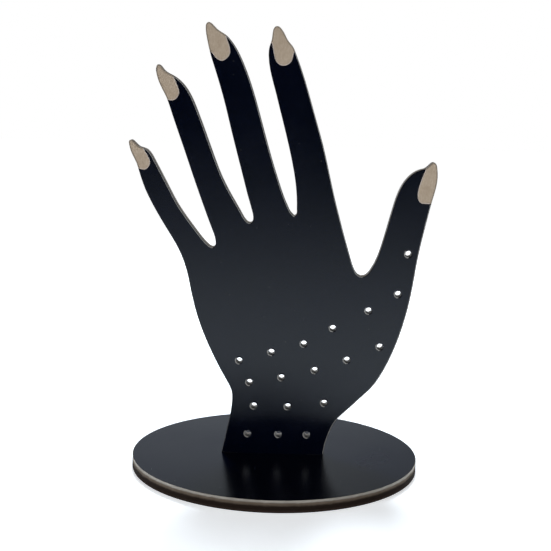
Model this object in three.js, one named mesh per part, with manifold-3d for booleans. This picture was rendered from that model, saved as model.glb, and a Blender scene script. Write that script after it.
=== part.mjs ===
// A ring and earring holder in the shape of a raised hand.
// It is two pieces of laser-cut board: a hand panel, and a round base with a slot that takes the panel's tab.
// Millimetres, +Z up. The origin is the centre of the base's underside, and the hand's face looks along -Y.

import * as THREE from 'three';
import { mergeVertices } from 'three/addons/utils/BufferGeometryUtils.js';
import Module from 'manifold-3d';

const wasm = await Module();
wasm.setup();

// Sizes of the two boards. The hand's height runs from the base's top to the middle fingertip.
const HAND_HEIGHT = 178.8;
const HAND_BOARD_THICKNESS = 5;
const BASE_DIAMETER = 120;
const BASE_BOARD_THICKNESS = 5;

// The shoulders on which the wrist stands, either side of its tab, and the gap round the tab in its slot
const TAB_SHOULDER = 6.5;
const SLOT_CLEARANCE = 0.15;

// Holes for earring posts and hooks, and the engraved fingernails
const STUD_HOLE_DIAMETER = 2.5;
const NAIL_DEPTH = 0.3;
const NAIL_CUTTER_MARGIN = 2;

// How finely curves are drawn: steps from node to node of the outline, and sides of a hole and of the base
const CURVE_STEPS = 6;
const HOLE_SIDES = 16;
const DISC_SIDES = 144;

// The hand is drawn in hundredths of its height.
const DRAWING_UNIT = HAND_HEIGHT / 100;

// The outline is a pen stroke through nodes [x, z, heading]. x is measured from the base's centre and z from
// the base's top, and the heading is the direction in which the pen passes, in degrees anticlockwise from +X.
// It goes up the little finger's side of the hand, over the fingers one by one, and down the thumb's side.
// A finger's nodes are measured from its own tip, so that a finger keeps its shape when its tip is moved.
const LITTLE_FINGER_EDGE = [
  [-12.47, 0, 78],
  [-11.3, 5.82, 79],
  [-10.23, 14.15, 93],
  [-11.97, 18.23, 120],
  [-17.79, 30.31, 111],
  [-20.69, 41.05, 101],
  [-22.71, 47.43, 114],
  [-26.06, 53.24, 122],
];

const THUMB_EDGE = [
  [31.6, 44.63, -97],
  [29.7, 33.61, -104],
  [25.17, 21.03, -117],
  [21.36, 15.55, -136],
  [17.79, 12.02, -134],
  [14.09, 8.05, -121],
  [12.42, 4.08, -108],
  [11.58, 0, -98],
];

// Each finger: where its tip is, the outline up one side and down the other, the curve of the cuticle where
// the nail starts, and the web that joins it to the next finger. The web is measured as the palm is.
const FINGERS = [
  {
    name: 'little',
    tip: [-34.4, 73.27],
    outline: [
      [3.91, -12.25, 116],
      [1.62, -5.93, 107],
      [-0.22, -1.62, 102],
      [0, 0, 0],
      [0.95, -0.62, -42],
      [2.29, -1.62, -16],
      [3.86, -2.24, -39],
      [5.7, -4.98, -61],
      [9.9, -12.86, -62],
      [14.99, -20.25, -52],
    ],
    cuticle: [
      [-1.12, -5.82, -20],
      [2.01, -6.49, -22],
      [3.02, -6.71, 4],
      [4.19, -5.93, 62],
      [4.47, -4.87, 95],
      [3.97, -3.58, 119],
      [2.35, -1.06, 124],
    ],
    web: [
      [-16.33, 49.5, -40],
      [-15.32, 49.05, 3],
      [-14.65, 50.22, 93],
      [-15.88, 54.14, 111],
    ],
  },
  {
    name: 'ring',
    tip: [-28.13, 90.38],
    outline: [
      [6.88, -21.53, 109],
      [3.13, -10.96, 109],
      [1.57, -6.82, 118],
      [-0.39, -2.4, 103],
      [-0.5, -0.45, 72],
      [0, 0, -20],
      [1.23, -1.23, -44],
      [3.13, -2.35, -27],
      [6.1, -4.87, -52],
      [9.12, -10.85, -68],
      [13.93, -23.38, -68],
      [18.9, -32.61, -59],
    ],
    cuticle: [
      [-0.56, -7.16, -20],
      [2.18, -7.89, -20],
      [3.02, -8, 2],
      [4.25, -7.33, 55],
      [4.7, -6.15, 90],
      [4.36, -4.81, 112],
      [2.91, -1.62, 116],
    ],
    web: [
      [-7.72, 55.37, -47],
      [-6.77, 54.92, 4],
      [-6.1, 56.26, 92],
      [-6.6, 58.45, 106],
    ],
  },
  {
    name: 'middle',
    tip: [-17, 100],
    outline: [
      [9.28, -37.81, 105],
      [4.64, -20.53, 104],
      [1.01, -8.56, 109],
      [-0.28, -3.69, 102],
      [-0.62, -0.95, 88],
      [0, 0, 10],
      [0.95, -0.56, -43],
      [2.18, -1.68, -33],
      [4.47, -3.24, -46],
      [8, -8.95, -66],
      [12.3, -21.64, -74],
      [16.22, -34.45, -71],
      [18.79, -41.11, -63],
    ],
    cuticle: [
      [-1.68, -6.26, -15],
      [0.78, -6.71, -45],
      [1.68, -7.83, -40],
      [3.13, -8.5, 4],
      [4.53, -7.61, 50],
      [4.98, -6.38, 92],
      [4.36, -4.03, 113],
      [3.36, -1.45, 117],
    ],
    web: [
      [2.63, 57.44, -42],
      [3.52, 56.82, 24],
      [3.86, 58.45, 90],
    ],
  },
  {
    name: 'index',
    tip: [-1.57, 99.44],
    outline: [
      [4.59, -32.66, 101],
      [0.17, -15.32, 105],
      [-1.79, -6.6, 92],
      [-1.45, -3.97, 68],
      [-1.01, -1.57, 86],
      [0, 0, 0],
      [1.29, -1.01, -53],
      [2.4, -2.96, -58],
      [3.47, -4.25, -52],
      [4.47, -6.26, -67],
      [10.12, -23.21, -72],
      [14.65, -40.49, -74],
    ],
    cuticle: [
      [-2.13, -3.13, -30],
      [-1.12, -3.91, -74],
      [-0.67, -6.04, -78],
      [0.22, -8.17, -45],
      [1.62, -8.72, 2],
      [3.13, -8.05, 45],
      [3.69, -6.6, 80],
      [4.75, -3.91, 66],
    ],
    web: [
      [16.28, 48.21, -72],
      [17.73, 44.24, -61],
      [19.35, 43.06, 0],
      [21.42, 44.8, 58],
      [23.99, 51.57, 75],
    ],
  },
  {
    name: 'thumb',
    tip: [34.9, 69.74],
    outline: [
      [-8.67, -9.51, 75],
      [-5.76, -3.52, 47],
      [-2.74, -1.62, 14],
      [-1.9, -1.34, 36],
      [-1.01, -0.56, 43],
      [0, 0, -11],
      [0.73, -1.51, -80],
      [0.73, -4.92, -98],
      [-0.17, -8.84, -104],
      [-1.34, -14.15, -102],
    ],
    cuticle: [
      [-1.79, -0.34, -108],
      [-2.01, -1.79, -112],
      [-3.3, -5.65, -104],
      [-3.52, -7.89, -85],
      [-2.91, -9.12, -45],
      [-1.73, -9.4, 0],
      [1.12, -9.45, 0],
    ],
    web: [],
  },
];

// Centres of the earring holes, [x, z] measured as the outline is, in rows from the top row to the wrist
const STUD_HOLES = [
  [-8.67, 22.44], [-1.18, 24.67], [6.35, 26.87], [13.02, 30.76],
  [21.16, 35.15], [27.85, 39.22], [29.84, 48.67],
  [-6.17, 17.29], [1.31, 18.64], [9.09, 20.6], [16.53, 23.27], [24.08, 26.63],
  [-5.02, 11.63], [2.98, 11.65], [11.51, 12.75],
  [-6.32, 4.81], [0.95, 4.81], [7.66, 4.92],
];

const blackLaminate = new THREE.MeshStandardMaterial({ color: 0x0c111a, roughness: 0.42, metalness: 0 });
const blackLaminateBase = new THREE.MeshStandardMaterial({ color: 0x10151d, roughness: 0.4, metalness: 0 });

const radians = THREE.MathUtils.degToRad;

// Draws a smooth curve from one node to the next. Its handles are those that make a circular arc when
// both headings turn alike from the straight line between the nodes.
function curveTo(path, from, to) {
  const [x0, z0, leave] = from;
  const [x1, z1, arrive] = to;
  const turn = radians(THREE.MathUtils.euclideanModulo(arrive - leave + 180, 360) - 180);
  const handle = Math.hypot(x1 - x0, z1 - z0) / 3 / Math.cos(turn / 4) ** 2;
  path.bezierCurveTo(
    x0 + handle * Math.cos(radians(leave)), z0 + handle * Math.sin(radians(leave)),
    x1 - handle * Math.cos(radians(arrive)), z1 - handle * Math.sin(radians(arrive)),
    x1, z1,
  );
}

// Nodes in the drawing's units, turned into millimetres.
function fullSize(nodes) {
  return nodes.map(([x, z, heading]) => [x * DRAWING_UNIT, z * DRAWING_UNIT, heading]);
}

// Starts a new shape and runs the pen through all the nodes.
function stroke(nodes) {
  const shape = new THREE.Shape();
  shape.moveTo(nodes[0][0], nodes[0][1]);
  for (let i = 1; i < nodes.length; i++) {
    curveTo(shape, nodes[i - 1], nodes[i]);
  }
  return shape;
}

// Nodes measured from a fingertip, turned into nodes measured as the palm is.
function fromTip([tipX, tipZ], nodes) {
  return nodes.map(([x, z, heading]) => [tipX + x, tipZ + z, heading]);
}

// The corners of a circle drawn with straight sides. The last point of the full turn repeats the first.
function circlePoints(x, y, diameter, sides) {
  return new THREE.EllipseCurve(x, y, diameter / 2, diameter / 2).getPoints(sides).slice(0, -1);
}

// Cuts a shape from board of a given thickness. The board stands up, with its front face at y = front.
function standingBoard(shape, front, thickness) {
  const geometry = new THREE.ExtrudeGeometry(shape, {
    depth: thickness,
    bevelEnabled: false,
    curveSegments: CURVE_STEPS,
  });
  geometry.rotateX(Math.PI / 2);
  geometry.translate(0, front + thickness, 0);
  return geometry;
}

function toSolid(geometry) {
  geometry.deleteAttribute('normal');
  geometry.deleteAttribute('uv');
  const merged = mergeVertices(geometry);
  return new wasm.Manifold(new wasm.Mesh({
    numProp: 3,
    vertProperties: new Float32Array(merged.attributes.position.array),
    triVerts: new Uint32Array(merged.index.array),
  }));
}

function toGeometry(solid) {
  const mesh = solid.getMesh();
  const geometry = new THREE.BufferGeometry();
  geometry.setAttribute('position', new THREE.BufferAttribute(new Float32Array(mesh.vertProperties), 3));
  geometry.setIndex(new THREE.BufferAttribute(new Uint32Array(mesh.triVerts), 1));
  geometry.computeVertexNormals();
  return geometry;
}

// The tab's left and right sides, a shoulder in from each side of the wrist.
function tabSides() {
  const [[wristLeft]] = fullSize([LITTLE_FINGER_EDGE.at(0)]);
  const [[wristRight]] = fullSize([THUMB_EDGE.at(-1)]);
  return [wristLeft + TAB_SHOULDER, wristRight - TAB_SHOULDER];
}

// The hand's outline, measured from the base's top. The tab under the wrist is as long as the base is thick,
// so its end is flush with the base's underside.
function handOutline() {
  const nodes = [...LITTLE_FINGER_EDGE];
  for (const finger of FINGERS) {
    nodes.push(...fromTip(finger.tip, finger.outline), ...finger.web);
  }
  nodes.push(...THUMB_EDGE);
  const shape = stroke(fullSize(nodes));

  const [tabLeft, tabRight] = tabSides();
  const tabBottom = -BASE_BOARD_THICKNESS;
  shape.lineTo(tabRight, 0);
  shape.lineTo(tabRight, tabBottom);
  shape.lineTo(tabLeft, tabBottom);
  shape.lineTo(tabLeft, 0);
  shape.closePath();
  return shape;
}

// The area engraved for one nail: everything from the cuticle's curve up to above the fingertip.
function nailArea(finger) {
  const nodes = fullSize(fromTip(finger.tip, finger.cuticle));
  const shape = stroke(nodes);
  const above = finger.tip[1] * DRAWING_UNIT + NAIL_CUTTER_MARGIN;
  shape.lineTo(nodes.at(-1)[0], above);
  shape.lineTo(nodes[0][0], above);
  shape.closePath();
  return shape;
}

// The upright panel: hand outline, earring holes right through, and five shallow nails in the front face.
function makeHandPanel() {
  const front = -HAND_BOARD_THICKNESS / 2;
  const outline = handOutline();
  for (const [x, z] of fullSize(STUD_HOLES)) {
    outline.holes.push(new THREE.Path(circlePoints(x, z, STUD_HOLE_DIAMETER, HOLE_SIDES)));
  }

  let solid = toSolid(standingBoard(outline, front, HAND_BOARD_THICKNESS));
  for (const finger of FINGERS) {
    const cutterFront = front - NAIL_CUTTER_MARGIN;
    const cutter = standingBoard(nailArea(finger), cutterFront, NAIL_CUTTER_MARGIN + NAIL_DEPTH);
    solid = solid.subtract(toSolid(cutter));
  }

  const panel = new THREE.Mesh(toGeometry(solid), blackLaminate);
  panel.name = 'hand_panel';
  return panel;
}

// The round base, with the slot cut right through it for the tab.
function makeBaseDisc() {
  const shape = new THREE.Shape(circlePoints(0, 0, BASE_DIAMETER, DISC_SIDES));

  const [tabLeft, tabRight] = tabSides();
  const slotLeft = tabLeft - SLOT_CLEARANCE;
  const slotRight = tabRight + SLOT_CLEARANCE;
  const slotBack = HAND_BOARD_THICKNESS / 2 + SLOT_CLEARANCE;
  const slot = new THREE.Path();
  slot.moveTo(slotLeft, -slotBack);
  slot.lineTo(slotLeft, slotBack);
  slot.lineTo(slotRight, slotBack);
  slot.lineTo(slotRight, -slotBack);
  slot.closePath();
  shape.holes.push(slot);

  const disc = new THREE.Mesh(new THREE.ExtrudeGeometry(shape, {
    depth: BASE_BOARD_THICKNESS,
    bevelEnabled: false,
  }), blackLaminateBase);
  disc.name = 'base_disc';
  return disc;
}

// The hand lifts straight up out of the slot, so it stands in a group of its own on the base's top.
const hand = new THREE.Group();
hand.position.z = BASE_BOARD_THICKNESS;
hand.add(makeHandPanel());

const holder = new THREE.Group();
holder.add(makeBaseDisc(), hand);

export default holder;
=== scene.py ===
# %% [markdown]
# # A hand-shaped ring holder, cut from black board
#
# This lesson dresses a small jewellery stand for a picture. The real object is a flat pack of two pieces of
# black-faced fibreboard, cut by laser: an upright hand, and a round base with a slot for the hand's tab.
# The two solids are loaded first, as a frame that is already the right size, and everything here is fitted
# to it. All lengths are in metres, +Z is up, and the hand's face looks along -Y.

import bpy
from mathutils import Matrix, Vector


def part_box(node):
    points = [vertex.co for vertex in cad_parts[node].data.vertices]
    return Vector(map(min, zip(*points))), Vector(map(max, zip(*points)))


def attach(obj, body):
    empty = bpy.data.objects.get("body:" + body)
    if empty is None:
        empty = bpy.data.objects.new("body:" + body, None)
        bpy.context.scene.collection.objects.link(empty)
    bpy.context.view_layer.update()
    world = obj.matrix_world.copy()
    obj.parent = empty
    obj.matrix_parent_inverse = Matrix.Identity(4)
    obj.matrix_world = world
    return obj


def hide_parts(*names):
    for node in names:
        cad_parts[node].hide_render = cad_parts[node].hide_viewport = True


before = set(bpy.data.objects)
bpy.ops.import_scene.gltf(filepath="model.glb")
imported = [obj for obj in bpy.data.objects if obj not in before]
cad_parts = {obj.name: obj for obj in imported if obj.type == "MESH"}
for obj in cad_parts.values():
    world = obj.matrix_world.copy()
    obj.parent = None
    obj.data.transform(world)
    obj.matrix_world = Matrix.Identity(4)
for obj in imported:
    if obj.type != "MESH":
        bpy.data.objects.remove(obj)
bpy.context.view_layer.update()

# %% [markdown]
# Blender works in metres and a laser cutter in millimetres, so one factor turns the one into the other. The
# Standard view transform shows a colour as it is written. The filmic ones would grey the black board.

# %% The modules and one small unit
import math
import bpy
import bmesh
from mathutils import Matrix, Vector

MM = 0.001
scene = bpy.context.scene
scene.view_settings.view_transform = "Standard"
print("view transform:", scene.view_settings.view_transform)

# %% [markdown]
# ## The camera
#
# The picture was taken from a little above the middle of the hand, nearly square to it. A long lens could be
# guessed, but the ellipse of the base gives the angle, and the way the base's width compares with its depth
# gives the distance. The photographer also held the camera a touch crooked, so the picture has a small roll.

# %% Camera at the photograph's viewing angle
CAMERA_PLACE = Vector((7.55, -500.09, 165.19)) * MM
CAMERA_AIM = Vector((-1.23, 0.0, 81.17)) * MM
CAMERA_ROLL = math.radians(1.35)
CAMERA_LENS = 79.67

forward = (CAMERA_AIM - CAMERA_PLACE).normalized()
level_right = forward.cross(Vector((0, 0, 1))).normalized()
level_up = level_right.cross(forward)
right = math.cos(CAMERA_ROLL) * level_right + math.sin(CAMERA_ROLL) * level_up
up = math.cos(CAMERA_ROLL) * level_up - math.sin(CAMERA_ROLL) * level_right

lens = bpy.data.cameras.new("camera")
lens.sensor_width = 36.0
lens.lens = CAMERA_LENS
lens.clip_start = 0.01
camera = bpy.data.objects.new("camera", lens)
turn = Matrix((right, up, -forward)).transposed().to_4x4()
camera.matrix_world = Matrix.Translation(CAMERA_PLACE) @ turn
scene.collection.objects.link(camera)
scene.camera = camera
print("camera is", round((CAMERA_AIM - CAMERA_PLACE).length, 3), "m away")

# %% [markdown]
# ## The cutting drawings
#
# A laser cutter works from a flat drawing: lines that it cuts, lines that bound an engraving, and marks for
# holes. The same kind of drawing can drive Geometry Nodes. The lines are read from the frame's own boards, so
# that the dressed boards can't drift from their true sizes. A flat face of a board is a set of triangles, and
# the edges that only one of them uses are its outline.

# %% Read the loops of a board's flat face
SAME_LEVEL = 1e-6
SAME_POINT = 1e-7


def flat_face_loops(node, across, level, sideways):
    """Closed loops, as lists of 2D points, round the triangles of a node that lie at a level of one axis."""
    merged = bmesh.new()
    merged.from_mesh(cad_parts[node].data)
    bmesh.ops.remove_doubles(merged, verts=merged.verts, dist=SAME_POINT)
    in_face = {f for f in merged.faces if all(abs(v.co[across] - level) < SAME_LEVEL for v in f.verts)}
    rim = [e for e in merged.edges if sum(f in in_face for f in e.link_faces) == 1]
    beside = {}
    for edge in rim:
        for a, b in (edge.verts, reversed(edge.verts)):
            beside.setdefault(a, []).append(b)
    loops = []
    while beside:
        start = next(iter(beside))
        loop = [start]
        while True:
            onward = [v for v in beside[loop[-1]] if v not in loop[-2:]]
            if start in beside[loop[-1]] and len(loop) > 2:
                break
            loop.append(onward[0])
        for v in loop:
            beside.pop(v)
        loops.append([Vector([v.co[i] for i in sideways]) for v in loop])
    merged.free()
    return loops


def area_of(loop):
    """Signed area of a loop of 2D points: positive when it runs anticlockwise."""
    return sum(a.x * b.y - b.x * a.y for a, b in zip(loop, loop[1:] + loop[:1])) / 2


def turned(loop, anticlockwise):
    """The same loop, running the way that is asked for."""
    return loop if (area_of(loop) > 0) == anticlockwise else loop[::-1]


hand_low, hand_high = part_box("hand_panel")
base_low, base_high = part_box("base_disc")
HAND_THICKNESS = hand_high[1] - hand_low[1]
BASE_THICKNESS = base_high[2] - base_low[2]
print("boards are", round(HAND_THICKNESS / MM, 2), "and", round(BASE_THICKNESS / MM, 2), "mm thick")

# %% [markdown]
# The hand's largest loop is its outline, and the others are holes for earring posts. They are read from the
# back, because the front is broken up by the nails. A hole of the solid has few sides, so only its centre and
# diameter are kept, and the laser draws it round.

# %% The hand's outline and its holes
hand_loops = flat_face_loops("hand_panel", 1, hand_high[1], (0, 2))
hand_loops.sort(key=lambda loop: -abs(area_of(loop)))
hand_outline = turned(hand_loops[0], True)
hole_centres = [sum(loop, Vector((0, 0))) / len(loop) for loop in hand_loops[1:]]
hole_diameter = 2 * max((p - hole_centres[0]).length for p in hand_loops[1])
print(len(hand_outline), "points round the hand")
print(len(hole_centres), "holes of", round(hole_diameter / MM, 2), "mm")

# %% [markdown]
# The base is a disc, so its radius is all that is read of its rim. Its other loop is the slot that takes the
# tab. A cut-out runs clockwise, so that the board always lies on a line's left.

# %% The base's slot and its size, from the top face
base_loops = flat_face_loops("base_disc", 2, base_high[2], (0, 1))
base_loops.sort(key=lambda loop: -abs(area_of(loop)))
slot_loop = turned(base_loops[1], False)
base_radius = max(p.length for p in base_loops[0])
print("base radius", round(base_radius / MM, 2), "mm")
print("slot corners", [tuple(round(v / MM, 2) for v in p) for p in slot_loop])

# %% [markdown]
# The nails aren't inlaid: the laser has burnt the black film away there, which leaves a shallow floor. That
# floor is the second level of the solid's front, so its height and outlines come from the solid too.

# %% The nails' outlines, where the front face steps down to the engraved floor
front_levels = sorted({round(v.co.y, 7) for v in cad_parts["hand_panel"].data.vertices})
nail_floor = front_levels[1]
ENGRAVING_DEPTH = nail_floor - hand_low[1]
nail_loops = [turned(loop, True) for loop in flat_face_loops("hand_panel", 1, nail_floor, (0, 2))]
print(len(nail_loops), "nails,", round(ENGRAVING_DEPTH / MM, 2), "mm deep")

# %% [markdown]
# A nail's outline is partly the cuticle's curve, which the laser engraves up to, and partly the hand's own
# outline, which it cuts through later. The engraving is drawn past the cut, as a maker does, so that no sliver
# of black face is left along the fingertip: each point that lies on the cut line is pushed outwards.

# %% Let each engraving run past the cut line
ENGRAVING_OVERRUN = 0.6 * MM


def key_of(point):
    """A point rounded, to look it up in a set."""
    return round(point.x, 6), round(point.y, 6)


on_cut = {key_of(p) for p in hand_outline}


def pushed_out(loop):
    """A nail's loop with its points on the hand's outline moved outwards, square to the outline."""
    moved = []
    for before, point, after in zip(loop[-1:] + loop[:-1], loop, loop[1:] + loop[:1]):
        if key_of(point) in on_cut:
            along = (after - before).normalized()
            point = point + Vector((along.y, -along.x)) * ENGRAVING_OVERRUN
        moved.append(point)
    return moved


engravings = [pushed_out(loop) for loop in nail_loops]
print([sum(key_of(p) in on_cut for p in loop) for loop in nail_loops], "points on the cut line")

# %% [markdown]
# Each drawing becomes one flat mesh with no faces: edges that are cut lines, edges marked as engraving, and
# loose points that mark the holes. It lies flat on the bed, in X and Y, whatever way the board stands later.

# %% Draw a cutting drawing
def draw(name, cut_lines, engraved_lines=(), marks=()):
    """A wire mesh of closed loops and loose points. Engraved edges have the attribute "engraved" set."""
    points, edges, engraved = [], [], []
    for loops, is_engraved in ((cut_lines, False), (engraved_lines, True)):
        for loop in loops:
            first = len(points)
            points += [(p.x, p.y, 0) for p in loop]
            edges += [(first + i, first + (i + 1) % len(loop)) for i in range(len(loop))]
            engraved += [is_engraved] * len(loop)
    points += [(p.x, p.y, 0) for p in marks]
    mesh = bpy.data.meshes.new(name)
    mesh.from_pydata(points, edges, [])
    flag = mesh.attributes.new("engraved", "BOOLEAN", "EDGE")
    flag.data.foreach_set("value", engraved)
    drawing = bpy.data.objects.new(name, mesh)
    scene.collection.objects.link(drawing)
    return drawing


def circle(radius, sides):
    """A loop of points round the origin, anticlockwise."""
    return [Vector((math.cos(a), math.sin(a))) * radius for a in (math.tau * i / sides for i in range(sides))]


BASE_SIDES = 288
hand_drawing = draw("hand_drawing", [hand_outline], engravings, hole_centres)
base_drawing = draw("base_drawing", [circle(base_radius, BASE_SIDES), slot_loop])
for drawing in (hand_drawing, base_drawing):
    print(drawing.name, "has", len(drawing.data.edges), "edges")

# %% [markdown]
# ## The laser, as a node tree
#
# Both boards follow one rule: cut the lines square through the sheet, and leave the edge between face and cut,
# which makers call the arris, very slightly rounded. So one Geometry Nodes tree makes them both. It could
# extrude a filled outline and bevel it afterwards, but here a small bracket-shaped section is swept along
# every cut line instead, which gives each wall, bore and arris its shape at once. The two faces are then
# filled between the section's ends.

# %% Small helpers to build any node tree
def put(tree, socket, value):
    """Links a value that is a socket to another, or writes any other value into it."""
    if isinstance(value, bpy.types.NodeSocket):
        tree.links.new(value, socket)
    else:
        socket.default_value = value


def set_inputs(tree, node, **inputs):
    """Sets or links inputs of a node by name, with an underscore for each space."""
    for key, value in inputs.items():
        wanted = key.replace("_", " ").lower()
        put(tree, next(s for s in node.inputs if s.name.lower() == wanted and s.enabled), value)


def add(tree, kind, settings=None, **inputs):
    """A node of that kind, with its settings and inputs."""
    node = tree.nodes.new(kind)
    for key, value in (settings or {}).items():
        setattr(node, key, value)
    set_inputs(tree, node, **inputs)
    return node


def in_order(tree, kind, values, settings=None):
    """The first output of a node whose inputs are set or linked in order."""
    node = add(tree, kind, settings)
    for value, socket in zip(values, node.inputs):
        put(tree, socket, value)
    return node.outputs[0]


def math_node(tree, operation, *values):
    """A sum, difference or comparison of numbers or sockets."""
    return in_order(tree, "ShaderNodeMath", values, {"operation": operation})


def times(tree, a, b):
    """The product of two numbers or sockets."""
    return math_node(tree, "MULTIPLY", a, b)


def vector(tree, x=0.0, y=0.0, z=0.0):
    """Three numbers or sockets as one vector."""
    return in_order(tree, "ShaderNodeCombineXYZ", (x, y, z))


def parts_of(tree, value):
    """The X, Y and Z of a vector, by name."""
    return add(tree, "ShaderNodeSeparateXYZ", Vector=value).outputs


def ramp(tree, value, low, high, bottom=0.0, top=1.0):
    """A value mapped smoothly from low..high to bottom..top."""
    smoothly = {"interpolation_type": "SMOOTHSTEP"}
    return in_order(tree, "ShaderNodeMapRange", (value, low, high, bottom, top), smoothly)


print("helpers ready")

# %% [markdown]
# The tree's inputs are what a maker would set on the machine or choose from the rack: the sheet's thickness,
# how deep to engrave, how wide the holes are, and the finishes. The boards share the tree and differ in these.

# %% The tree's inputs
laser = bpy.data.node_groups.new("Laser-cut board", "GeometryNodeTree")
laser.is_modifier = True
for kind, titles in (
    ("Geometry", ("Drawing",)),
    ("Float", ("Thickness", "Arris", "Rim", "Hole Rim", "Hole Diameter")),
    ("Int", ("Hole Sides",)),
    ("Float", ("Engraving Depth",)),
    ("Vector", ("Ashy Side",)),
    ("Float", ("Ashy Above",)),
    ("Rotation", ("Stand Up",)),
    ("Vector", ("Place",)),
    ("Material", ("Face", "Cut", "Engraved")),
):
    for title in titles:
        laser.interface.new_socket(title, in_out="INPUT", socket_type="NodeSocket" + kind)
laser.interface.new_socket("Board", in_out="OUTPUT", socket_type="NodeSocketGeometry")
given = laser.nodes.new("NodeGroupInput").outputs
half = times(laser, given["Thickness"], 0.5)
minus_half = times(laser, given["Thickness"], -0.5)
print("the laser tree has", len(given) - 1, "inputs")

# %% [markdown]
# Most steps of this tree are one node with one result, so a helper adds the node and hands on that result.

# %% Helpers for the laser tree
def step(kind, settings=None, **inputs):
    """The first output of a node in the laser tree."""
    return add(laser, kind, settings, **inputs).outputs[0]


def compare(operation, a, b, kind="INT"):
    """Whether a compares with b in that way."""
    return step("FunctionNodeCompare", {"data_type": kind, "operation": operation}, A=a, B=b)


def stored(geometry, name, value, kind="FLOAT", domain="POINT"):
    """The same geometry, with a value stored on it under a name."""
    settings = {"data_type": kind, "domain": domain}
    return step("GeometryNodeStoreNamedAttribute", settings, Geometry=geometry, Name=name, Value=value)


def joined(*geometries):
    """Several geometries as one."""
    node = laser.nodes.new("GeometryNodeJoinGeometry")
    for geometry in geometries:
        put(laser, node.inputs[0], geometry)
    return node.outputs[0]


print("helpers for the laser tree ready")

# %% [markdown]
# The drawing holds three kinds of mark, as a cutting file does. Edges flagged as engraving are set aside, all
# other edges are cuts, and points without a neighbour are holes. A sweep follows curves, so the cuts become
# curves. Their normals point straight up, or the section would twist along the way.

# %% Sort the drawing
is_engraved = step("GeometryNodeInputNamedAttribute", {"data_type": "BOOLEAN"}, Name="engraved")
lines = add(
    laser, "GeometryNodeSeparateGeometry", {"domain": "EDGE"}, Geometry=given["Drawing"], Selection=is_engraved,
).outputs
cuts = step("GeometryNodeMeshToCurve", Mesh=lines["Inverted"])
flat_cuts = step("GeometryNodeSetCurveNormal", {"mode": "Z_UP"}, Curve=cuts)
is_loose = compare("EQUAL", step("GeometryNodeInputMeshVertexNeighbors"), 0)
marks = step("GeometryNodeMeshToPoints", Mesh=given["Drawing"], Selection=is_loose)
print("cut lines and hole marks sorted")

# %% [markdown]
# A hole for an earring post is a circle that the laser cuts. One circle is set on every mark, turned clockwise,
# so that the board lies on its left as it does along every other line. A boolean could bore the holes, but a
# swept wall has its rounded arris too.

# %% Hole circles
hole_radius = times(laser, given["Hole Diameter"], 0.5)
hole = step("GeometryNodeCurvePrimitiveCircle", Resolution=given["Hole Sides"], Radius=hole_radius)
holes = step("GeometryNodeInstanceOnPoints", Points=marks, Instance=hole)
hole_curves = step("GeometryNodeRealizeInstances", Geometry=holes)
clockwise = step("GeometryNodeReverseCurve", Curve=hole_curves)
flat_holes = step("GeometryNodeSetCurveNormal", {"mode": "Z_UP"}, Curve=clockwise)
print("holes drawn")

# %% [markdown]
# The film's edge is painted pale along the cuts that face one way, as a painted highlight where light from the
# upper right catches the arris, and stays black on the others. On this board they face right and a little up:
# the right edges of the fingers, and the lower left of every hole. Each cut line stores a value that is 1 where
# it faces that way and fades to 0 round the other side. Every line runs with the board on its left, so the way
# that it faces is its tangent turned a quarter to the right. The hand's foot, which stands on the base, stays
# black, so the painted highlight begins above a given height.

# %% The side of every cut that gets a painted highlight
FULLY_HIGHLIT = 0.95


def with_painted_highlight(cuts):
    """The same curves, with the painted highlight's strength stored on their points."""
    towards = add(laser, "ShaderNodeVectorMath", {"operation": "DOT_PRODUCT"})
    put(laser, towards.inputs[0], step("GeometryNodeInputTangent"))
    put(laser, towards.inputs[1], given["Ashy Side"])
    fading = ramp(laser, towards.outputs["Value"], 0.0, FULLY_HIGHLIT)
    up_the_board = parts_of(laser, step("GeometryNodeInputPosition"))["Y"]
    above = math_node(laser, "GREATER_THAN", up_the_board, given["Ashy Above"])
    return stored(cuts, "ashy", times(laser, fading, above))


highlit_cuts, highlit_holes = with_painted_highlight(flat_cuts), with_painted_highlight(flat_holes)
print("ash marked")

# %% [markdown]
# The section is an open bracket: in along the lower face, up the wall, and back along the upper face. Its two
# corners are rounded by the arris. The short flat ends are the rim, a narrow flat band that keeps the smooth
# shading of the arris off the wide faces. One corner carries a value, "lip", that fades to 0 along the rim.
# The sweep turns the section over, so that the corner drawn below ends up on the upper face, the front.

# %% The section that is swept along every cut
SIDE_OF_MATERIAL = -1.0
LIP_CORNER = 1
index = step("GeometryNodeInputIndex")
at_lip = compare("EQUAL", index, LIP_CORNER)


def swept(cuts, rim):
    """The walls that the section leaves along some curves, with a rim of a given width on both faces."""
    inward = times(laser, rim, SIDE_OF_MATERIAL)
    bracket = step("GeometryNodeMeshLine", {"mode": "OFFSET"}, Count=4)
    corners = add(laser, "GeometryNodeIndexSwitch", {"data_type": "VECTOR"}, Index=index)
    for _ in range(2):
        corners.index_switch_items.new()
    places = (inward, minus_half), (0.0, minus_half), (0.0, half), (inward, half)
    for i, (across, height) in enumerate(places):
        put(laser, corners.inputs[1 + i], vector(laser, across, height))
    bent = step("GeometryNodeSetPosition", Geometry=bracket, Position=corners.outputs[0])
    section = step(
        "GeometryNodeFilletCurve", {"mode": "POLY"},
        Curve=step("GeometryNodeMeshToCurve", Mesh=stored(bent, "lip", at_lip)),
        Count=2, Radius=given["Arris"], Limit_Radius=True,
    )
    return step("GeometryNodeCurveToMesh", Curve=cuts, Profile_Curve=section)


walls = joined(swept(highlit_cuts, given["Rim"]), swept(highlit_holes, given["Hole Rim"]))
print("walls swept")

# %% [markdown]
# What is left of the sheet between the cuts is its two flat faces. The upper ends of the swept section are
# edges with one face only, so those edges bound the upper face. It is filled once, and its copy lies below,
# turned over. Merging the points that meet closes the board.

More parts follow.
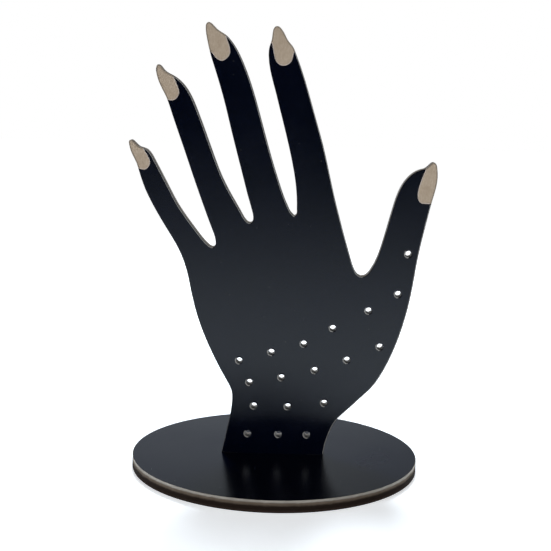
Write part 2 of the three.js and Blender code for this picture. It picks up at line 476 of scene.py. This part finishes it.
# %% Fill the two faces between the section's ends
MEETING_WITHIN = 2e-6
on_border = compare("EQUAL", step("GeometryNodeInputMeshEdgeNeighbors"), 1)
height = parts_of(laser, step("GeometryNodeInputPosition"))["Z"]
is_above = compare("GREATER_THAN", height, 0.0, "FLOAT")
upper_border = in_order(laser, "FunctionNodeBooleanMath", (on_border, is_above), {"operation": "AND"})
border = step("GeometryNodeMeshToCurve", Mesh=walls, Selection=upper_border)
sheet = step("GeometryNodeFillCurve", {"mode": "TRIANGLES"}, Curve=border)
upper = step("GeometryNodeTransform", Geometry=sheet, Translation=vector(laser, z=half))
lower = step("GeometryNodeTransform", Geometry=sheet, Translation=vector(laser, z=minus_half))
shell = joined(walls, upper, step("GeometryNodeFlipFaces", Mesh=lower))
closed = step("GeometryNodeMergeByDistance", Geometry=shell, Distance=MEETING_WITHIN)
print("faces filled")

# %% [markdown]
# A face of the board and the wall of a cut have different finishes. The faces are the parts that look straight
# up or down before the board is stood up, so the material follows the normal.

# %% Give the faces and the cuts their finish
FACE_STEEPNESS = 0.98
steepness = math_node(laser, "ABSOLUTE", parts_of(laser, step("GeometryNodeInputNormal"))["Z"])
is_face = compare("GREATER_THAN", steepness, FACE_STEEPNESS, "FLOAT")
burnt = step("GeometryNodeSetMaterial", Geometry=closed, Material=given["Cut"])
finished = step("GeometryNodeSetMaterial", Geometry=burnt, Selection=is_face, Material=given["Face"])
print("faces and cuts have materials")

# %% [markdown]
# Engraving takes away a shallow block of the board, and it is done as just that: a block that reaches well
# above the face is subtracted. The block's faces carry a flag, "scraped", and the floor that it leaves keeps
# the flag, so the engraved finish can be given at the very end.

# %% Engrave
ENGRAVING_HEADROOM = 1 * MM
nail_curves = step("GeometryNodeMeshToCurve", Mesh=lines["Selection"])
nail_faces = step("GeometryNodeFillCurve", {"mode": "TRIANGLES"}, Curve=nail_curves)
to_floor = vector(laser, z=math_node(laser, "SUBTRACT", half, given["Engraving Depth"]))
floors = step("GeometryNodeTransform", Geometry=nail_faces, Translation=to_floor)
upwards = vector(laser, z=math_node(laser, "ADD", given["Engraving Depth"], ENGRAVING_HEADROOM))
raised = step("GeometryNodeExtrudeMesh", {"mode": "FACES"}, Mesh=floors, Offset=upwards, Individual=False)
blocks = joined(raised, step("GeometryNodeFlipFaces", Mesh=floors))
solid_blocks = step("GeometryNodeMergeByDistance", Geometry=blocks, Distance=MEETING_WITHIN)
cutters = stored(solid_blocks, "scraped", True, "BOOLEAN", "FACE")
subtract = {"operation": "DIFFERENCE", "solver": "EXACT"}
engraved = step("GeometryNodeMeshBoolean", subtract, Mesh_1=finished, Mesh_2=cutters)
print("engraving ready")

# %% [markdown]
# An arris catches the light as a soft line, so its small faces are shaded smooth, while the corners of the tab
# and the nails stay sharp. The angle between faces tells them apart. Then the board is stood up in its place.

# %% Smooth the arrises, keep the sharp corners, and stand the board up
SHARP_ANGLE = math.radians(40)
is_soft = compare("LESS_THAN", step("GeometryNodeInputMeshEdgeAngle"), SHARP_ANGLE, "FLOAT")
smooth = step("GeometryNodeSetShadeSmooth", {"domain": "FACE"}, Geometry=engraved, Shade_Smooth=True)
crisp = step("GeometryNodeSetShadeSmooth", {"domain": "EDGE"}, Geometry=smooth, Shade_Smooth=is_soft)
stood = step("GeometryNodeTransform", Geometry=crisp, Translation=given["Place"], Rotation=given["Stand Up"])
real = step("GeometryNodeRealizeInstances", Geometry=stood)
is_scraped = step("GeometryNodeInputNamedAttribute", {"data_type": "BOOLEAN"}, Name="scraped")
dressed = step("GeometryNodeSetMaterial", Geometry=real, Selection=is_scraped, Material=given["Engraved"])
put(laser, laser.nodes.new("NodeGroupOutput").inputs["Board"], dressed)
print("laser tree:", len(laser.nodes), "nodes,", len(laser.links), "links")

# %% [markdown]
# ## The finishes
#
# The board is thin fibreboard with a black melamine film on both sides. Three finishes show: the satin film,
# the burnt edge that the laser leaves, and the bare fibre where the nails are engraved. What they share is
# built once, as shader groups that are placed in each material with its own values. Patterns read Object
# coordinates, in millimetres, so that they stay put when a board moves and come out at their true size.

# %% Helpers for shader groups
def start_group(title, inputs, outputs):
    """A shader group with named sockets. Returns the tree, its inputs' sockets and its output node's."""
    tree = bpy.data.node_groups.new(title, "ShaderNodeTree")
    for sockets, way in ((inputs, "INPUT"), (outputs, "OUTPUT")):
        for name, kind in sockets:
            tree.interface.new_socket(name, in_out=way, socket_type="NodeSocket" + kind)
    return tree, tree.nodes.new("NodeGroupInput").outputs, tree.nodes.new("NodeGroupOutput").inputs


def noise(tree, place, scale, detail=2.0, roughness=0.5):
    """Noise, as a value round 0.5."""
    inputs = {"Vector": place, "Scale": scale, "Detail": detail, "Roughness": roughness}
    return add(tree, "ShaderNodeTexNoise", **inputs).outputs[0]


def stretched(tree, place, factors):
    """A vector multiplied by three numbers, to draw a pattern out along an axis."""
    return in_order(tree, "ShaderNodeVectorMath", (place, factors), {"operation": "MULTIPLY"})


def blend(tree, factor, a, b):
    """Colour a where the factor is 0, b where it is 1."""
    node = add(tree, "ShaderNodeMix", {"data_type": "RGBA"})
    for value, socket in ((factor, node.inputs[0]), (a, node.inputs[6]), (b, node.inputs[7])):
        put(tree, socket, value)
    return node.outputs[2]


def colour(*eye):
    """A colour written as the eye reads it, 0 to 255, turned into the light that a shader works with."""
    return tuple(((v / 255 + 0.055) / 1.055) ** 2.4 if v > 10 else v / 255 / 12.92 for v in eye) + (1.0,)


print("a mid grey of 128 is", round(colour(128, 128, 128)[0], 3), "as light")

# %% [markdown]
# Melamine film takes the texture of the press plate: a fine, even pebble, about a third of a millimetre from
# bump to bump. Larger and fainter, the fibre under it telegraphs through as a slow waviness, which is what
# makes a reflection in such a board slightly uneven.

# %% Film texture
PEBBLES_PER_MM = 3.0
WAVES_PER_MM = 0.09
MOTTLES_PER_MM = 0.035
film, given, out = start_group(
    "Pressed film", [("Place", "Vector"), ("Waviness", "Float")], [("Height", "Float"), ("Mottle", "Float")],
)
pebble = noise(film, given["Place"], PEBBLES_PER_MM, 1.0)
waves = times(film, noise(film, given["Place"], WAVES_PER_MM), given["Waviness"])
put(film, out["Height"], math_node(film, "ADD", pebble, waves))
put(film, out["Mottle"], noise(film, given["Place"], MOTTLES_PER_MM, 3.0))
print("film group:", len(film.nodes), "nodes")

# %% [markdown]
# Black board shows every speck. Dust lies as separate grains, so it comes from the cells of a Voronoi texture:
# a grain is where the distance to the cell's centre is small, and a random value of the cell leaves most of
# them empty. Handling leaves hairline scratches, which are thin bands of a noise that is drawn out along one
# direction and broken up by a second one.

# %% Dust and hairline scratches
CELLS_PER_MM = 0.55
GRAIN = (0.035, 0.09)
RARE_CELLS = (0.80, 0.97)
HAIRLINE_STRETCH = (0.35, 0.35, 0.05)
HAIRLINE = (0.0, 0.006)
HAIRLINE_PATCHES = (0.56, 0.68)
wear_values = [("Dust", "Float"), ("Scratches", "Float")]
wear, given, out = start_group("Dust and scratches", [("Place", "Vector")] + wear_values, wear_values)
cells = add(wear, "ShaderNodeTexVoronoi", Vector=given["Place"], Scale=CELLS_PER_MM)
grain = ramp(wear, cells.outputs["Distance"], *GRAIN, 1.0, 0.0)
of_the_cell = add(wear, "ShaderNodeSeparateColor", Color=cells.outputs["Color"]).outputs[0]
specks = times(wear, grain, ramp(wear, of_the_cell, *RARE_CELLS))
put(wear, out["Dust"], times(wear, specks, given["Dust"]))
line_noise = noise(wear, stretched(wear, given["Place"], HAIRLINE_STRETCH), 1.0, 1.0, 0.3)
off_middle = math_node(wear, "ABSOLUTE", math_node(wear, "SUBTRACT", line_noise, 0.5))
thin = ramp(wear, off_middle, *HAIRLINE, 1.0, 0.0)
broken = ramp(wear, noise(wear, given["Place"], 0.06), *HAIRLINE_PATCHES)
hairlines = times(wear, thin, broken)
put(wear, out["Scratches"], times(wear, hairlines, given["Scratches"]))
print("wear group:", len(wear.nodes), "nodes")

# %% [markdown]
# The laser burns its way through. Where the beam enters, the film has melted back and left a pale, ashy line.
# Below it the fibre is singed, then charred almost black, and near the far side the smoke has left it a
# lighter brown. Fine ridges run straight through the board, one for each pulse of the beam, and across them
# lie the flat layers in which the board was pressed.

# %% Laser-cut edge
BURNS = ("Entry", "Singed", "Char", "Smoke")
STAGES = (("Singed", 0.1, 0.26), ("Char", 0.28, 0.54), ("Smoke", 0.74, 0.9), ("Char", 0.94, 1.0))
WANDER = 0.11
LAYER_DARKNESS = 0.3
edge, given, out = start_group(
    "Laser-cut edge",
    [("Ridges At", "Vector"), ("Layers At", "Vector"), ("Through", "Float")] + [(b, "Color") for b in BURNS],
    [("Colour", "Color"), ("Layers", "Float"), ("Height", "Float")],
)
wander = math_node(edge, "SUBTRACT", noise(edge, given["Ridges At"], 0.35, 3.0), 0.5)
through = math_node(edge, "ADD", given["Through"], times(edge, wander, WANDER))
tone = given["Entry"]
for stage, begins, done in STAGES:
    tone = blend(edge, ramp(edge, through, begins, done), tone, given[stage])
layers = ramp(edge, noise(edge, given["Layers At"], 1.0, 4.0, 0.6), 0.3, 0.75)
layered = blend(edge, times(edge, layers, LAYER_DARKNESS), tone, given["Char"])
ridges = noise(edge, given["Ridges At"], 2.6, 1.0)
for name, value in (("Colour", layered), ("Layers", layers), ("Height", ridges)):
    put(edge, out[name], value)
print("edge group:", len(edge.nodes), "nodes")

# %% [markdown]
# The nails are engraved by a beam that sweeps to and fro, a few lines to the millimetre, until the film is gone
# and the beige fibre shows. The sweeps leave a faint comb, and the fibre shows as soft streaks and flecks. At
# the cuticle a narrow rim is made paler. Along the cut it is singed and greyer. The "Edge" input is 1 on the
# cuticle, -1 on the cut and 0 elsewhere.

# %% Raster engraving
RASTER_PITCH = 0.16
COMB_DEPTH = 0.03
FIBRE_STRETCH = (1.5, 1.0, 0.55)
raster, given, out = start_group(
    "Raster engraving",
    [("Place", "Vector"), ("Edge", "Float")]
    + [(tone, "Color") for tone in ("Fibre", "Fleck", "Toasted", "Pale", "Singed")],
    [("Colour", "Color"), ("Height", "Float")],
)
turns = times(raster, parts_of(raster, given["Place"])["Z"], math.tau / RASTER_PITCH)
comb = times(raster, math_node(raster, "SINE", turns), COMB_DEPTH)
streaks = noise(raster, stretched(raster, given["Place"], FIBRE_STRETCH), 1.3, 4.0, 0.6)
flecks = ramp(raster, streaks, 0.38, 0.7)
fibre = blend(raster, flecks, given["Fibre"], given["Fleck"])
patches = times(raster, ramp(raster, noise(raster, given["Place"], 0.22), 0.4, 0.7), 0.4)
toasted = blend(raster, patches, fibre, given["Toasted"])
at_cuticle = times(raster, ramp(raster, given["Edge"], 0.3, 0.75), 0.85)
towards_cut = times(raster, given["Edge"], -1.0)
at_cut = times(raster, ramp(raster, towards_cut, 0.0, 0.5), 0.75)
rimmed = blend(raster, at_cuticle, toasted, given["Pale"])
put(raster, out["Colour"], blend(raster, at_cut, rimmed, given["Singed"]))
put(raster, out["Height"], math_node(raster, "ADD", comb, flecks))
print("raster group:", len(raster.nodes), "nodes")

# %% [markdown]
# Every finish starts alike: a Principled shader, and the place on the board in millimetres. Object coordinates
# belong to the board and move with it. Bumps are used for relief that is finer than any mesh could hold.

# %% Helpers for materials
def start_material(title, viewport):
    """A material with an empty tree, its Principled shader, and the place in millimetres on the board."""
    material = bpy.data.materials.new(title)
    material.use_nodes = True
    material.diffuse_color = viewport
    tree = material.node_tree
    metres = tree.nodes.new("ShaderNodeTexCoord").outputs["Object"]
    return material, tree, tree.nodes["Principled BSDF"], stretched(tree, metres, (1 / MM,) * 3)


def use_group(tree, group, **inputs):
    """A group placed in a tree, with its inputs set or linked by name."""
    return add(tree, "ShaderNodeGroup", {"node_tree": group}, **inputs).outputs


def attribute(tree, name):
    """A value that is stored on the board's points."""
    return add(tree, "ShaderNodeAttribute", {"attribute_name": name}).outputs["Fac"]


def bump(tree, height, strength, distance):
    """A bump, where a height of 1 stands for the distance, in metres."""
    return add(tree, "ShaderNodeBump", Strength=strength, Distance=distance, Height=height).outputs[0]


print("material helpers ready")

# %% [markdown]
# The film is nearly black, with a little blue in it. What the eye sees is mostly its satin reflection, so the
# roughness matters more than the colour. It varies a little over the board, as it does where hands have been.
# Along the cuts that face the light from the upper right the film ends in a ragged pale line, a painted
# highlight where the arris catches that light.

# %% The black satin film
FILM_SPECULAR = 0.5
# The pale tone of the painted highlight along the cuts that face the light.
PAINTED_HIGHLIGHT = colour(144, 142, 138)
SCRATCH = colour(70, 74, 80)
DUST = colour(165, 163, 158)
FILM_BUMP = (0.1, 0.06 * MM)


def make_face(title, black, lighter, roughness):
    """The film: near-black, satin, with faint dust and hairlines, and a painted highlight along the cuts that
    have it.
    """
    material, tree, shader, place = start_material(title, black)
    texture = use_group(tree, film, Place=place, Waviness=1.5)
    marks = use_group(tree, wear, Place=place, Dust=0.35, Scratches=0.12)
    tone = blend(tree, ramp(tree, texture["Mottle"], 0.3, 0.7), black, lighter)
    scratched = blend(tree, marks["Scratches"], tone, SCRATCH)
    dusty = blend(tree, marks["Dust"], scratched, DUST)
    # A ragged pale line where the cut faces the light is a painted highlight. It is made rougher too.
    lip = attribute(tree, "lip")
    ragged = times(tree, math_node(tree, "SUBTRACT", noise(tree, place, 1.6), 0.5), 0.5)
    near_cut = math_node(tree, "ADD", times(tree, attribute(tree, "ashy"), lip), ragged)
    highlight = times(tree, ramp(tree, near_cut, 0.04, 0.26), ramp(tree, lip, 0.0, 0.15))
    gloss = ramp(tree, texture["Mottle"], 0.25, 0.75, roughness - 0.02, roughness + 0.03)
    dulled = math_node(tree, "ADD", gloss, times(tree, marks["Dust"], 0.3))
    set_inputs(
        tree, shader, Base_Color=blend(tree, highlight, dusty, PAINTED_HIGHLIGHT), Specular_IOR_Level=FILM_SPECULAR,
        Roughness=math_node(tree, "ADD", dulled, times(tree, highlight, 0.5)),
        Normal=bump(tree, texture["Height"], *FILM_BUMP),
    )
    return material


hand_face = make_face("hand_face", colour(1, 4, 16), colour(3, 6, 20), 0.14)
base_face = make_face("base_face", colour(1, 4, 18), colour(3, 6, 22), 0.245)
print("two faces of film")

# %% [markdown]
# The finish of a cut has to know how far through the board a point lies: its distance from the face where the
# beam went in, over the thickness. A picture could be wrapped round the edge, but a measured depth needs no
# unwrapping. Beside a nail the wall is scorched browner, and the hand's foot, which sits on the base, is
# painted dark as the shade where it meets the base.

# %% The burnt edges
NAIL_WALL = colour(74, 63, 51)
# Painted shade: near-black for the hand's foot, where it stands in the base.
FOOT_CONTACT_SHADE = colour(14, 13, 13)
FOOT_FADE = 0.3
RIDGES, LAYERS = {True: 0.12, False: 1.0}, {True: 1.6, False: 0.25}
CUT_BUMP = (0.12, 0.08 * MM)


def make_cut(title, axis, entry_level, thickness, tones, shine, roughness, foot):
    """The wall of a cut, with its four tones by name. Up to the height foot, in millimetres, it is painted
    near-black as the shade where it stands on the base, and made rougher.
    """
    material, tree, shader, place = start_material(title, tones["Char"])
    parts = parts_of(tree, place)
    past_entry = math_node(tree, "SUBTRACT", parts[axis], entry_level / MM)
    through = math_node(tree, "DIVIDE", past_entry, thickness / MM)
    along_beam = [name == axis for name in "XYZ"]
    cut = use_group(
        tree, edge, Through=through, **tones,
        Ridges_At=stretched(tree, place, [RIDGES[a] for a in along_beam]),
        Layers_At=stretched(tree, place, [LAYERS[a] for a in along_beam]),
    )
    beside_nail = ramp(tree, times(tree, attribute(tree, "nail_edge"), -1.0), 0.0, 1.0)
    browned = blend(tree, beside_nail, cut["Colour"], NAIL_WALL)
    clear = ramp(tree, parts["Z"], foot, foot + FOOT_FADE)
    rougher_at_foot = times(tree, math_node(tree, "SUBTRACT", 1.0, clear), 0.6)
    on_arris = ramp(tree, through, 0.02, 0.06, 0.4, 0.0)
    dull = math_node(tree, "ADD", rougher_at_foot, on_arris)
    set_inputs(
        tree, shader, Base_Color=blend(tree, clear, FOOT_CONTACT_SHADE, browned), Specular_IOR_Level=shine,
        Roughness=math_node(tree, "ADD", ramp(tree, cut["Layers"], 0.0, 1.0, *roughness), dull),
        Normal=bump(tree, cut["Height"], *CUT_BUMP),
    )
    return material


def tones_of(*tones):
    """The four tones of a burnt edge, by name."""
    return {name: colour(*tone) for name, tone in zip(BURNS, tones)}


hand_tones = tones_of((44, 41, 38), (108, 102, 94), (92, 85, 77), (128, 121, 112))
base_tones = tones_of((188, 182, 172), (116, 103, 90), (38, 28, 22), (58, 47, 42))
hand_cut = make_cut("hand_cut", "Y", hand_low[1], HAND_THICKNESS, hand_tones, 0.5, (0.36, 0.52), 5.2)
base_cut = make_cut("base_cut", "Z", base_high[2], -BASE_THICKNESS, base_tones, 0.1, (0.7, 0.9), -1.0)
print("two burnt edges")

# %% [markdown]
# An engraved nail is bare fibre, greige and dull. The group above does the work, and the material only gives
# it this board's tones. Paint would look even, which a real engraving never does.

# %% The engraved nails
ENGRAVING_BUMP = (0.2, 0.05 * MM)
nail_finish, tree, shader, place = start_material("engraved_nail", colour(168, 154, 136))
engraved_nail = use_group(
    tree, raster, Place=place, Edge=attribute(tree, "nail_edge"),
    Fibre=colour(179, 160, 139), Fleck=colour(191, 173, 152),
    Toasted=colour(166, 146, 124), Pale=colour(216, 205, 196), Singed=colour(120, 110, 98),
)
set_inputs(
    tree, shader, Base_Color=engraved_nail["Colour"], Roughness=0.85, Specular_IOR_Level=0.2,
    Normal=bump(tree, engraved_nail["Height"], *ENGRAVING_BUMP),
)
print("nail finish ready")

# %% [markdown]
# ## Cutting the boards
#
# The tree is put on a drawing as a modifier, its inputs are set, and the result is kept as a plain mesh. The
# drawing has then done its work and is thrown away.

# %% Cut a board from its drawing
def cut_board(name, drawing, **sizes):
    """Runs the laser tree on a drawing, with its inputs set by title, and returns the board as a mesh."""
    modifier = drawing.modifiers.new("laser", "NODES")
    modifier.node_group = laser
    for item in laser.interface.items_tree:
        title = item.name.replace(" ", "_")
        if item.item_type == "SOCKET" and item.in_out == "INPUT" and title in sizes:
            modifier[item.identifier] = sizes[title]
    bpy.context.view_layer.update()
    evaluated = drawing.evaluated_get(bpy.context.evaluated_depsgraph_get())
    mesh = bpy.data.meshes.new_from_object(evaluated)
    mesh.name = name
    board = bpy.data.objects.new(name, mesh)
    scene.collection.objects.link(board)
    bpy.data.objects.remove(drawing)
    triangles = sum(len(p.vertices) - 2 for p in mesh.polygons)
    print(name, "has", triangles, "triangles and", [m.name if m else None for m in mesh.materials])
    return board


def facing(degrees):
    """What a tangent is multiplied by to tell how far a cut faces that way: 0 is right and 90 is up."""
    return (-math.sin(math.radians(degrees)), math.cos(math.radians(degrees)), 0.0)


SHARED = {
    "Arris": 0.14 * MM, "Hole_Rim": 0.72 * MM, "Hole_Diameter": hole_diameter, "Hole_Sides": 40,
    "Engraving_Depth": ENGRAVING_DEPTH, "Engraved": nail_finish,
}
# Which way, in degrees, the cuts with the painted highlight face: towards the light from the upper right.
HIGHLIGHT_FACING = 22
hand_board = cut_board(
    "hand_board", hand_drawing, **SHARED, Thickness=HAND_THICKNESS, Rim=0.45 * MM,
    Ashy_Side=facing(HIGHLIGHT_FACING), Ashy_Above=base_high[2] + 0.1 * MM,
    Stand_Up=(math.radians(90), 0.0, 0.0), Place=(0.0, (hand_low[1] + hand_high[1]) / 2, 0.0),
    Face=hand_face, Cut=hand_cut,
)
base_board = cut_board(
    "base_board", base_drawing, **SHARED, Thickness=BASE_THICKNESS, Rim=0.3 * MM,
    Ashy_Side=(0.0, 0.0, 0.0), Ashy_Above=0.0,
    Stand_Up=(0.0, 0.0, 0.0), Place=(0.0, 0.0, (base_low[2] + base_high[2]) / 2),
    Face=base_face, Cut=base_cut,
)

# %% [markdown]
# The engraved floor of a nail is one flat area, so nothing on it tells a shader how far the edge is. Each floor
# is therefore drawn again as a narrow band and an inner area. An attribute is 1 along the cuticle, -1 along
# the cut, and fades to 0 across the band. The band's inner side is the nail's outline moved inwards. Points
# that would fold it over itself at a pointed tip are left out.

# %% A loop set in from another
NAIL_BAND = 0.7 * MM
TWINS_WITHIN = 0.02 * MM
CLEAR_OF_SIDES = 0.97


def distance_to_loop(point, loop):
    """How far a 2D point is from the nearest side of a loop."""
    nearest = math.inf
    for a, b in zip(loop, loop[1:] + loop[:1]):
        side = b - a
        share = min(max((point - a).dot(side) / side.length_squared, 0.0), 1.0)
        nearest = min(nearest, (a + side * share - point).length)
    return nearest


def set_in(loop, band):
    """An anticlockwise loop moved inwards, without twin points, folds and points too near another side."""
    spaced = [p for before, p in zip(loop[-1:] + loop[:-1], loop) if (p - before).length > TWINS_WITHIN]
    kept = []
    for before, point, after in zip(spaced[-1:] + spaced[:-1], spaced, spaced[1:] + spaced[:1]):
        along = (after - before).normalized()
        moved = point + Vector((-along.y, along.x)) * band
        onward = not kept or (moved - kept[-1]).dot(along) > TWINS_WITHIN
        if onward and distance_to_loop(moved, loop) > CLEAR_OF_SIDES * band:
            kept.append(moved)
    return kept


print("a nail's band has", len(set_in(nail_loops[0], NAIL_BAND)), "points inside", len(nail_loops[0]))

# %% [markdown]
# The floors are drawn again on the finished mesh. Each is dissolved into one area, the smaller loop is drawn
# inside it, and the ring between them is filled with triangles. An edge that crosses the ring gets a point in
# its middle, where the value has faded, so that the shader sees a soft border and not a hard one.

# %% Redraw the floors, and fade the value across each band
ON_CUT_WITHIN = 0.05 * MM


def on_drawing(v):
    """Where a point of the upright board lies on its drawing."""
    return Vector((v.co.x, v.co.z))


def redraw_floors(work, layer, floors, level):
    """Draws each floor again as a band and an inner area, with its edge marked. Returns the outlines."""
    loops = []
    for whole in bmesh.ops.dissolve_faces(work, faces=floors, use_verts=False)["region"]:
        outer, outline = list(whole.verts), list(whole.edges)
        loop = [on_drawing(v) for v in outer]
        for v, p in zip(outer, loop):
            v[layer] = -1.0 if distance_to_loop(p, hand_outline) < ON_CUT_WITHIN else 1.0
        inner = [work.verts.new((p.x, level, p.y)) for p in set_in(loop, NAIL_BAND)]
        inner_edges = [work.edges.new(pair) for pair in zip(inner, inner[1:] + inner[:1])]
        work.faces.remove(whole)
        bmesh.ops.triangle_fill(work, edges=outline + inner_edges, use_beauty=True, normal=(0, -1, 0))
        work.faces.new(inner)
        loops.append(loop)
    return loops


def fade_bands(work, layer, loops, is_floor):
    """Halves the edges that cross a band, and fades the value at their middles."""
    across = [
        e for e in work.edges
        if is_floor(e) and all(v[layer] for v in e.verts) and all(map(is_floor, e.link_faces))
    ]
    middles = bmesh.ops.subdivide_edges(work, edges=across, cuts=1)["geom_inner"]
    for v in (g for g in middles if isinstance(g, bmesh.types.BMVert)):
        near = min(distance_to_loop(on_drawing(v), loop) for loop in loops)
        v[layer] *= max(1 - near / NAIL_BAND, 0.0)


print("floors can be redrawn")

# %% [markdown]
# The beam that engraved a nail also scorched the wall of the cut beside it. So the wall's points there get the
# value of the cut, -1, too.

# %% Band the nails and scorch the walls beside them
ON_WALL_WITHIN = 0.16 * MM
BESIDE_NAIL = 0.25 * MM
MERGED_WITHIN = 1e-6
FACES_FRONT = 0.99


def scorch_walls(work, layer):
    """Marks the wall of the cut beside each nail. Returns how many points it marked."""
    scorched = 0
    for loop in nail_loops:
        low, high = (Vector([pick(p[i] for p in loop) for i in (0, 1)]) for pick in (min, max))
        for v in work.verts:
            p = on_drawing(v)
            in_box = all(low[i] - NAIL_BAND < p[i] < high[i] + NAIL_BAND for i in (0, 1))
            on_wall = in_box and distance_to_loop(p, hand_outline) < ON_WALL_WITHIN
            if on_wall and distance_to_loop(p, loop) < BESIDE_NAIL:
                v[layer] = -1.0
                scorched += 1
    return scorched


def band_nails(board):
    """Cuts a band round each engraved floor, and writes nail_edge. Returns nails, faces and wall points."""
    mesh = board.data
    finish = mesh.materials.find(nail_finish.name)
    work = bmesh.new()
    work.from_mesh(mesh)
    bmesh.ops.remove_doubles(work, verts=work.verts, dist=MERGED_WITHIN)
    layer = work.verts.layers.float.new("nail_edge")
    floors = [f for f in work.faces if f.material_index == finish and abs(f.normal.y) > FACES_FRONT]
    level = floors[0].verts[0].co.y

    def is_floor(element):
        return all(abs(v.co.y - level) < SAME_POINT for v in element.verts)

    loops = redraw_floors(work, layer, floors, level)
    fade_bands(work, layer, loops, is_floor)
    drawn = [f for f in work.faces if is_floor(f)]
    for face in drawn:
        face.material_index = finish
        face.smooth = True
        face.normal_update()
        if face.normal.y > 0:
            face.normal_flip()
    scorched = scorch_walls(work, layer)
    bmesh.ops.dissolve_degenerate(work, edges=work.edges, dist=SAME_POINT)
    work.to_mesh(mesh)
    work.free()
    return len(loops), len(drawn), scorched


print("nails, their faces and the wall points beside them:", band_nails(hand_board))

# %% [markdown]
# The tree leaves material slots that no face uses. They would travel along for nothing, so they are dropped.

# %% Drop material slots that nothing uses
def drop_unused_slots(board):
    """Keeps only the materials that some face has, in their order."""
    mesh = board.data
    used = sorted({p.material_index for p in mesh.polygons})
    indices = [used.index(p.material_index) for p in mesh.polygons]
    kept = [mesh.materials[i] for i in used]
    mesh.materials.clear()
    for material in kept:
        mesh.materials.append(material)
    mesh.polygons.foreach_set("material_index", indices)
    mesh.update()
    return [m.name for m in kept]


for board in (hand_board, base_board):
    print(board.name, "keeps", drop_unused_slots(board))

# %% [markdown]
# Two calls tie a board to the part: the body it rides on, and the solid it replaces. The hand lifts out of its
# slot, so its board goes with the body that moves.

# %% Each board stands for its solid and moves with it
for board, node, body, slot in (
    (hand_board, "hand_panel", "hand", "hand_board"),
    (base_board, "base_disc", "base", "base_board"),
):
    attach(board, body)
    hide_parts(node)
print("boards placed on their bodies")

# %% [markdown]
# ## Floor, lamps and surroundings
#
# The photograph is a cut-out on white: the board was taken in a dim room, and the white came later. That shows
# in the base, whose top mirrors the space behind it at a low angle and still looks dark grey. So the floor and
# the world are white for the camera's own rays only, and the board's reflections see a dim room instead.

# %% The floor
FLOOR_REACH = 2.2
BELOW_THE_BASE = 0.05 * MM
floor_mesh = bpy.data.meshes.new("floor")
floor_corners = [(x * FLOOR_REACH, y * FLOOR_REACH, 0.0) for x, y in ((-1, -1), (1, -1), (1, 1), (-1, 1))]
floor_mesh.from_pydata(floor_corners, [], [(0, 1, 2, 3)])
floor = bpy.data.objects.new("floor", floor_mesh)
floor.location.z = -BELOW_THE_BASE
scene.collection.objects.link(floor)
print("floor", 2 * FLOOR_REACH, "m across")

# %% [markdown]
# A sheet of pale paper carries the soft shadow that grounds the stand. To the camera it also glows, more so
# further out, so that it runs into the white round it with no horizon to be seen.

# %% The floor's paper
SHADOW_REACH = 0.14
PURE_WHITE_FROM = 0.42
GLOW_NEAR = 0.62
WHITE = (1.0, 1.0, 1.0, 1.0)
floor_finish = bpy.data.materials.new("floor_finish")
floor_finish.use_nodes = True
tree = floor_finish.node_tree
seen = tree.nodes.new("ShaderNodeLightPath").outputs["Is Camera Ray"]
from_centre = add(tree, "ShaderNodeVectorMath", {"operation": "LENGTH"})
put(tree, from_centre.inputs[0], tree.nodes.new("ShaderNodeTexCoord").outputs["Object"])
glow = ramp(tree, from_centre.outputs["Value"], SHADOW_REACH, PURE_WHITE_FROM, GLOW_NEAR, 1.0)
set_inputs(
    tree, tree.nodes["Principled BSDF"], Base_Color=colour(222, 234, 245), Roughness=0.9,
    Specular_IOR_Level=0.0, Emission_Color=WHITE, Emission_Strength=times(tree, seen, glow),
)
floor_mesh.materials.append(floor_finish)
print("pure white from", PURE_WHITE_FROM, "m out")

# %% [markdown]
# A glossy black board shows the room more than itself. This room is dark, with a wall behind the stand that is
# lighter low down and darker to the right. The low part gives the base its grey, and the dark in front gives
# the hand its black.

# %% The room round the stand
HORIZON_BEHIND = (0.82, 0.87, 0.92, 1.0)
LOW_WALL = (0.44, 0.485, 0.535, 1.0)
DARK_ROOM = (0.01, 0.012, 0.015, 1.0)
world = bpy.data.worlds.new("surroundings")
scene.world = world
world.use_nodes = True
tree = world.node_tree
looking = parts_of(tree, tree.nodes.new("ShaderNodeTexCoord").outputs["Generated"])
low = blend(tree, ramp(tree, looking["Z"], 0.05, 0.16), HORIZON_BEHIND, LOW_WALL)
wall = blend(tree, ramp(tree, looking["Z"], 0.25, 0.41), low, DARK_ROOM)
uneven_wall = blend(tree, ramp(tree, looking["X"], -0.03, 0.2, 0.0, 0.5), wall, DARK_ROOM)
room = blend(tree, ramp(tree, looking["Y"], 0.1, 0.7), DARK_ROOM, uneven_wall)
seen = tree.nodes.new("ShaderNodeLightPath").outputs["Is Camera Ray"]
put(tree, tree.nodes["Background"].inputs["Color"], blend(tree, seen, room, WHITE))
print("wall behind", LOW_WALL[:3], "and the rest of the room", DARK_ROOM[:3])

# %% [markdown]
# Three weak lamps do what a room can't. One behind and above lights the rims and lays the shadow on the paper,
# and two low at the sides catch the cuts. The rear one is kept out of reflections, because its mirror image
# would lie across the base with the hand's shadow in it.

# %% Three soft lamps
def soft_lamp(name, place, aim, size, watts, beam):
    """A square area lamp that points at aim, with its beam in degrees. The camera doesn't see it."""
    light = bpy.data.lights.new(name, "AREA")
    light.size = size
    light.spread = math.radians(beam)
    light.energy = watts
    lamp = bpy.data.objects.new(name, light)
    lamp.location = place
    lamp.rotation_euler = (Vector(aim) - Vector(place)).to_track_quat("-Z", "Y").to_euler()
    lamp.visible_camera = False
    scene.collection.objects.link(lamp)
    return lamp


rear = soft_lamp("lamp_behind", (0.0, 1.05, 1.4), (0, -0.2, 0), size=0.5, watts=4.7, beam=56)
rear.visible_glossy = False
soft_lamp("lamp_left", (-1.2, -1.1, 0.36), (0, 0, 0.1), size=0.4, watts=0.6, beam=40)
soft_lamp("lamp_right", (1.2, -1.1, 0.36), (0, 0, 0.1), size=0.4, watts=0.5, beam=40)
